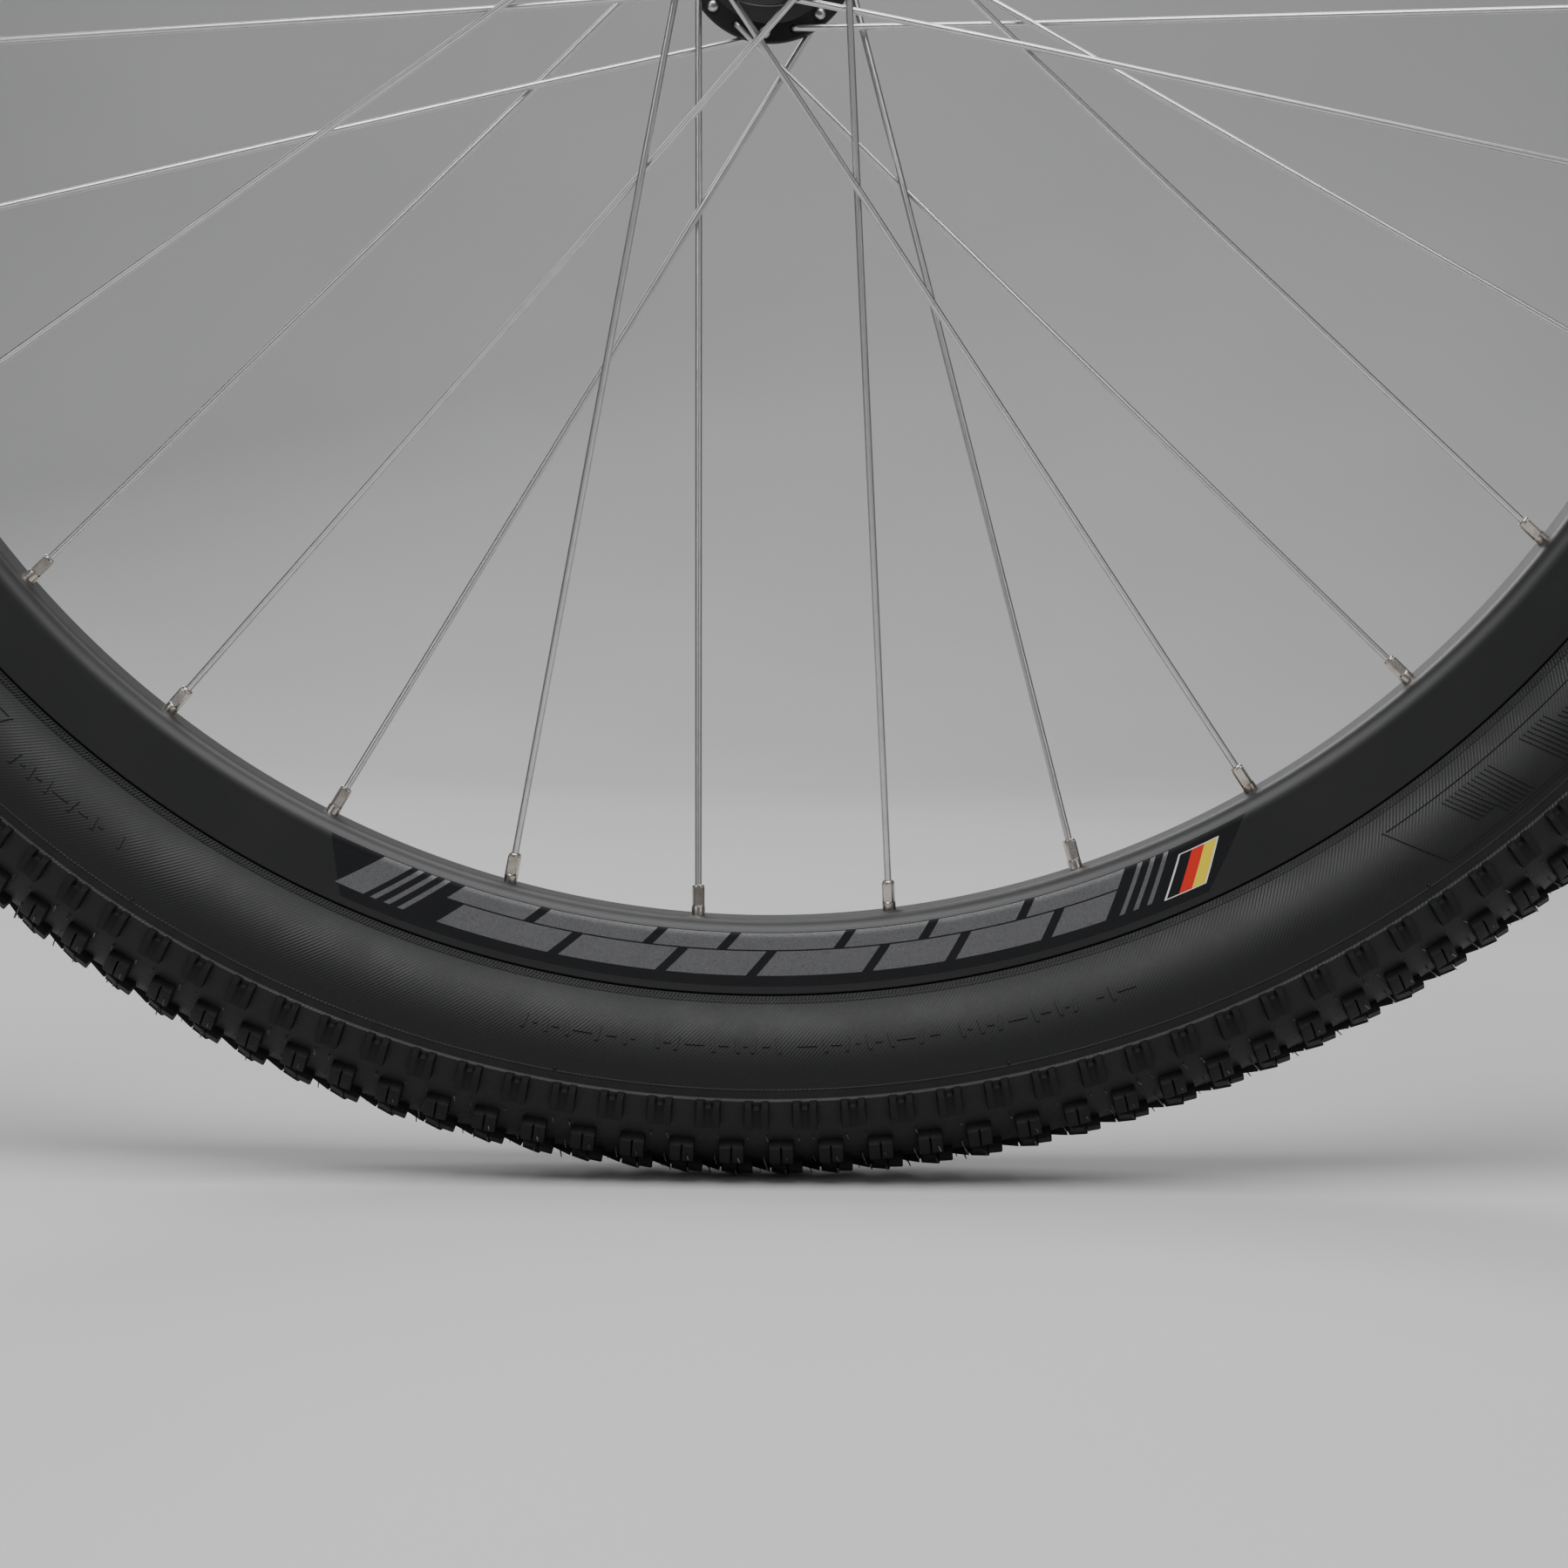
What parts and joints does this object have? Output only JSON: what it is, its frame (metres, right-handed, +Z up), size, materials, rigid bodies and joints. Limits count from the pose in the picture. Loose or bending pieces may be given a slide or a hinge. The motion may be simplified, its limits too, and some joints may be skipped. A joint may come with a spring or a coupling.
{
  "type": "bicycle front wheel",
  "caption": "Spoked mountain-bike front wheel with a knobbly tyre, a splined rotor seat on the hub and a quick-release skewer.",
  "frame": {"origin": "centre of the wheel: on the axle's axis, in the rim's middle plane", "axes": "+Y along the axle away from the disc side, +Z up, +X to the right seen from the disc side"},
  "size_m": [0.7014, 0.1475, 0.7014],
  "materials": {
    "bearing_steel": "turned and hardened steel",
    "polished_steel": "polished steel",
    "spoke_steel": "drawn stainless steel",
    "plated_brass": "nickel-plated brass",
    "brass": "turned brass",
    "black_aluminium": "black anodised, satin",
    "bare_aluminium": "extruded, bare",
    "black_plastic": "moulded, matt",
    "nylon": "moulded nylon",
    "tape": "woven plastic tape",
    "seal_rubber": "moulded rubber",
    "tube_rubber": "butyl rubber",
    "tyre_rubber": "vulcanised rubber, matt"
  },
  "bodies": {
    "axle_set": {"axle": "bearing_steel", "cone_left": "bearing_steel", "cone_right": "bearing_steel", "spacer_left": "bearing_steel", "spacer_right": "bearing_steel", "lock_washer_left": "bearing_steel", "lock_washer_right": "bearing_steel", "locknut_left": "bearing_steel", "locknut_right": "bearing_steel", "seal_left": "seal_rubber", "seal_right": "seal_rubber", "cam_housing": "black_aluminium", "skewer_spring_left": "polished_steel", "skewer_spring_right": "polished_steel"},
    "wheel": {"hub_shell": "black_aluminium", "cup_left": "bearing_steel", "cup_right": "bearing_steel", "dust_cap_left": "black_plastic", "dust_cap_right": "black_plastic", "spokes_left_leading": "spoke_steel", "spokes_left_trailing": "spoke_steel", "spokes_right_leading": "spoke_steel", "spokes_right_trailing": "spoke_steel", "nipples_left": "plated_brass", "nipples_right": "plated_brass", "rim": "black_aluminium", "rim_joint_sleeve": "bare_aluminium", "rim_tape": "tape", "inner_tube": "tube_rubber", "tyre_casing": "tyre_rubber", "bead_wire_left": "bearing_steel", "bead_wire_right": "bearing_steel", "tyre_tread": "tyre_rubber", "valve_stem": "tube_rubber", "valve_core": "brass"},
    "balls_left": {"balls_left": "polished_steel"},
    "balls_right": {"balls_right": "polished_steel"},
    "skewer": {"skewer_rod": "polished_steel"},
    "lever": {"quick_release_lever": "black_aluminium", "lever_grip": "black_plastic"},
    "nut": {"adjusting_nut": "black_aluminium", "nut_insert": "nylon"},
    "valve_pin": {"valve_pin": "brass"},
    "valve_cap": {"valve_cap": "black_plastic"}
  },
  "joints": [
    {"name": "wheel_spin", "type": "hinge", "parent": "axle_set", "child": "wheel", "pos_m": [0, 0, 0], "axis": [0, 1, 0], "continuous": true},
    {"name": "ball_roll_left", "type": "hinge", "parent": "axle_set", "child": "balls_left", "pos_m": [0, 0, 0], "axis": [0, 1, 0], "continuous": true},
    {"name": "ball_roll_right", "type": "hinge", "parent": "axle_set", "child": "balls_right", "pos_m": [0, 0, 0], "axis": [0, 1, 0], "continuous": true},
    {"name": "lever_swing", "type": "hinge", "parent": "axle_set", "child": "lever", "pos_m": [0, -0.068, 0], "axis": [1, 0, 0], "range_deg": [0, 170]},
    {"name": "skewer_pull", "type": "slide", "parent": "axle_set", "child": "skewer", "axis": [0, 1, 0], "range_m": [0, 0.0015]},
    {"name": "nut_turn", "type": "hinge", "parent": "skewer", "child": "nut", "pos_m": [0, 0.06, 0], "axis": [0, 1, 0], "continuous": true},
    {"name": "valve_pin_press", "type": "slide", "parent": "wheel", "child": "valve_pin", "axis": [-0.0353, 0, 0.9994], "range_m": [0, 0.0015], "stiffness_N_per_m": 300},
    {"name": "valve_cap_off", "type": "slide", "parent": "wheel", "child": "valve_cap", "axis": [0.0353, 0, -0.9994], "range_m": [0, 0.014]}
  ],
  "couplings": [
    {"joint": "ball_roll_left", "follows": "wheel_spin", "ratio": 0.6026},
    {"joint": "ball_roll_right", "follows": "wheel_spin", "ratio": 0.6026},
    {"joint": "skewer_pull", "follows": "lever_swing", "m_per_rad": 0.00050218}
  ]
}
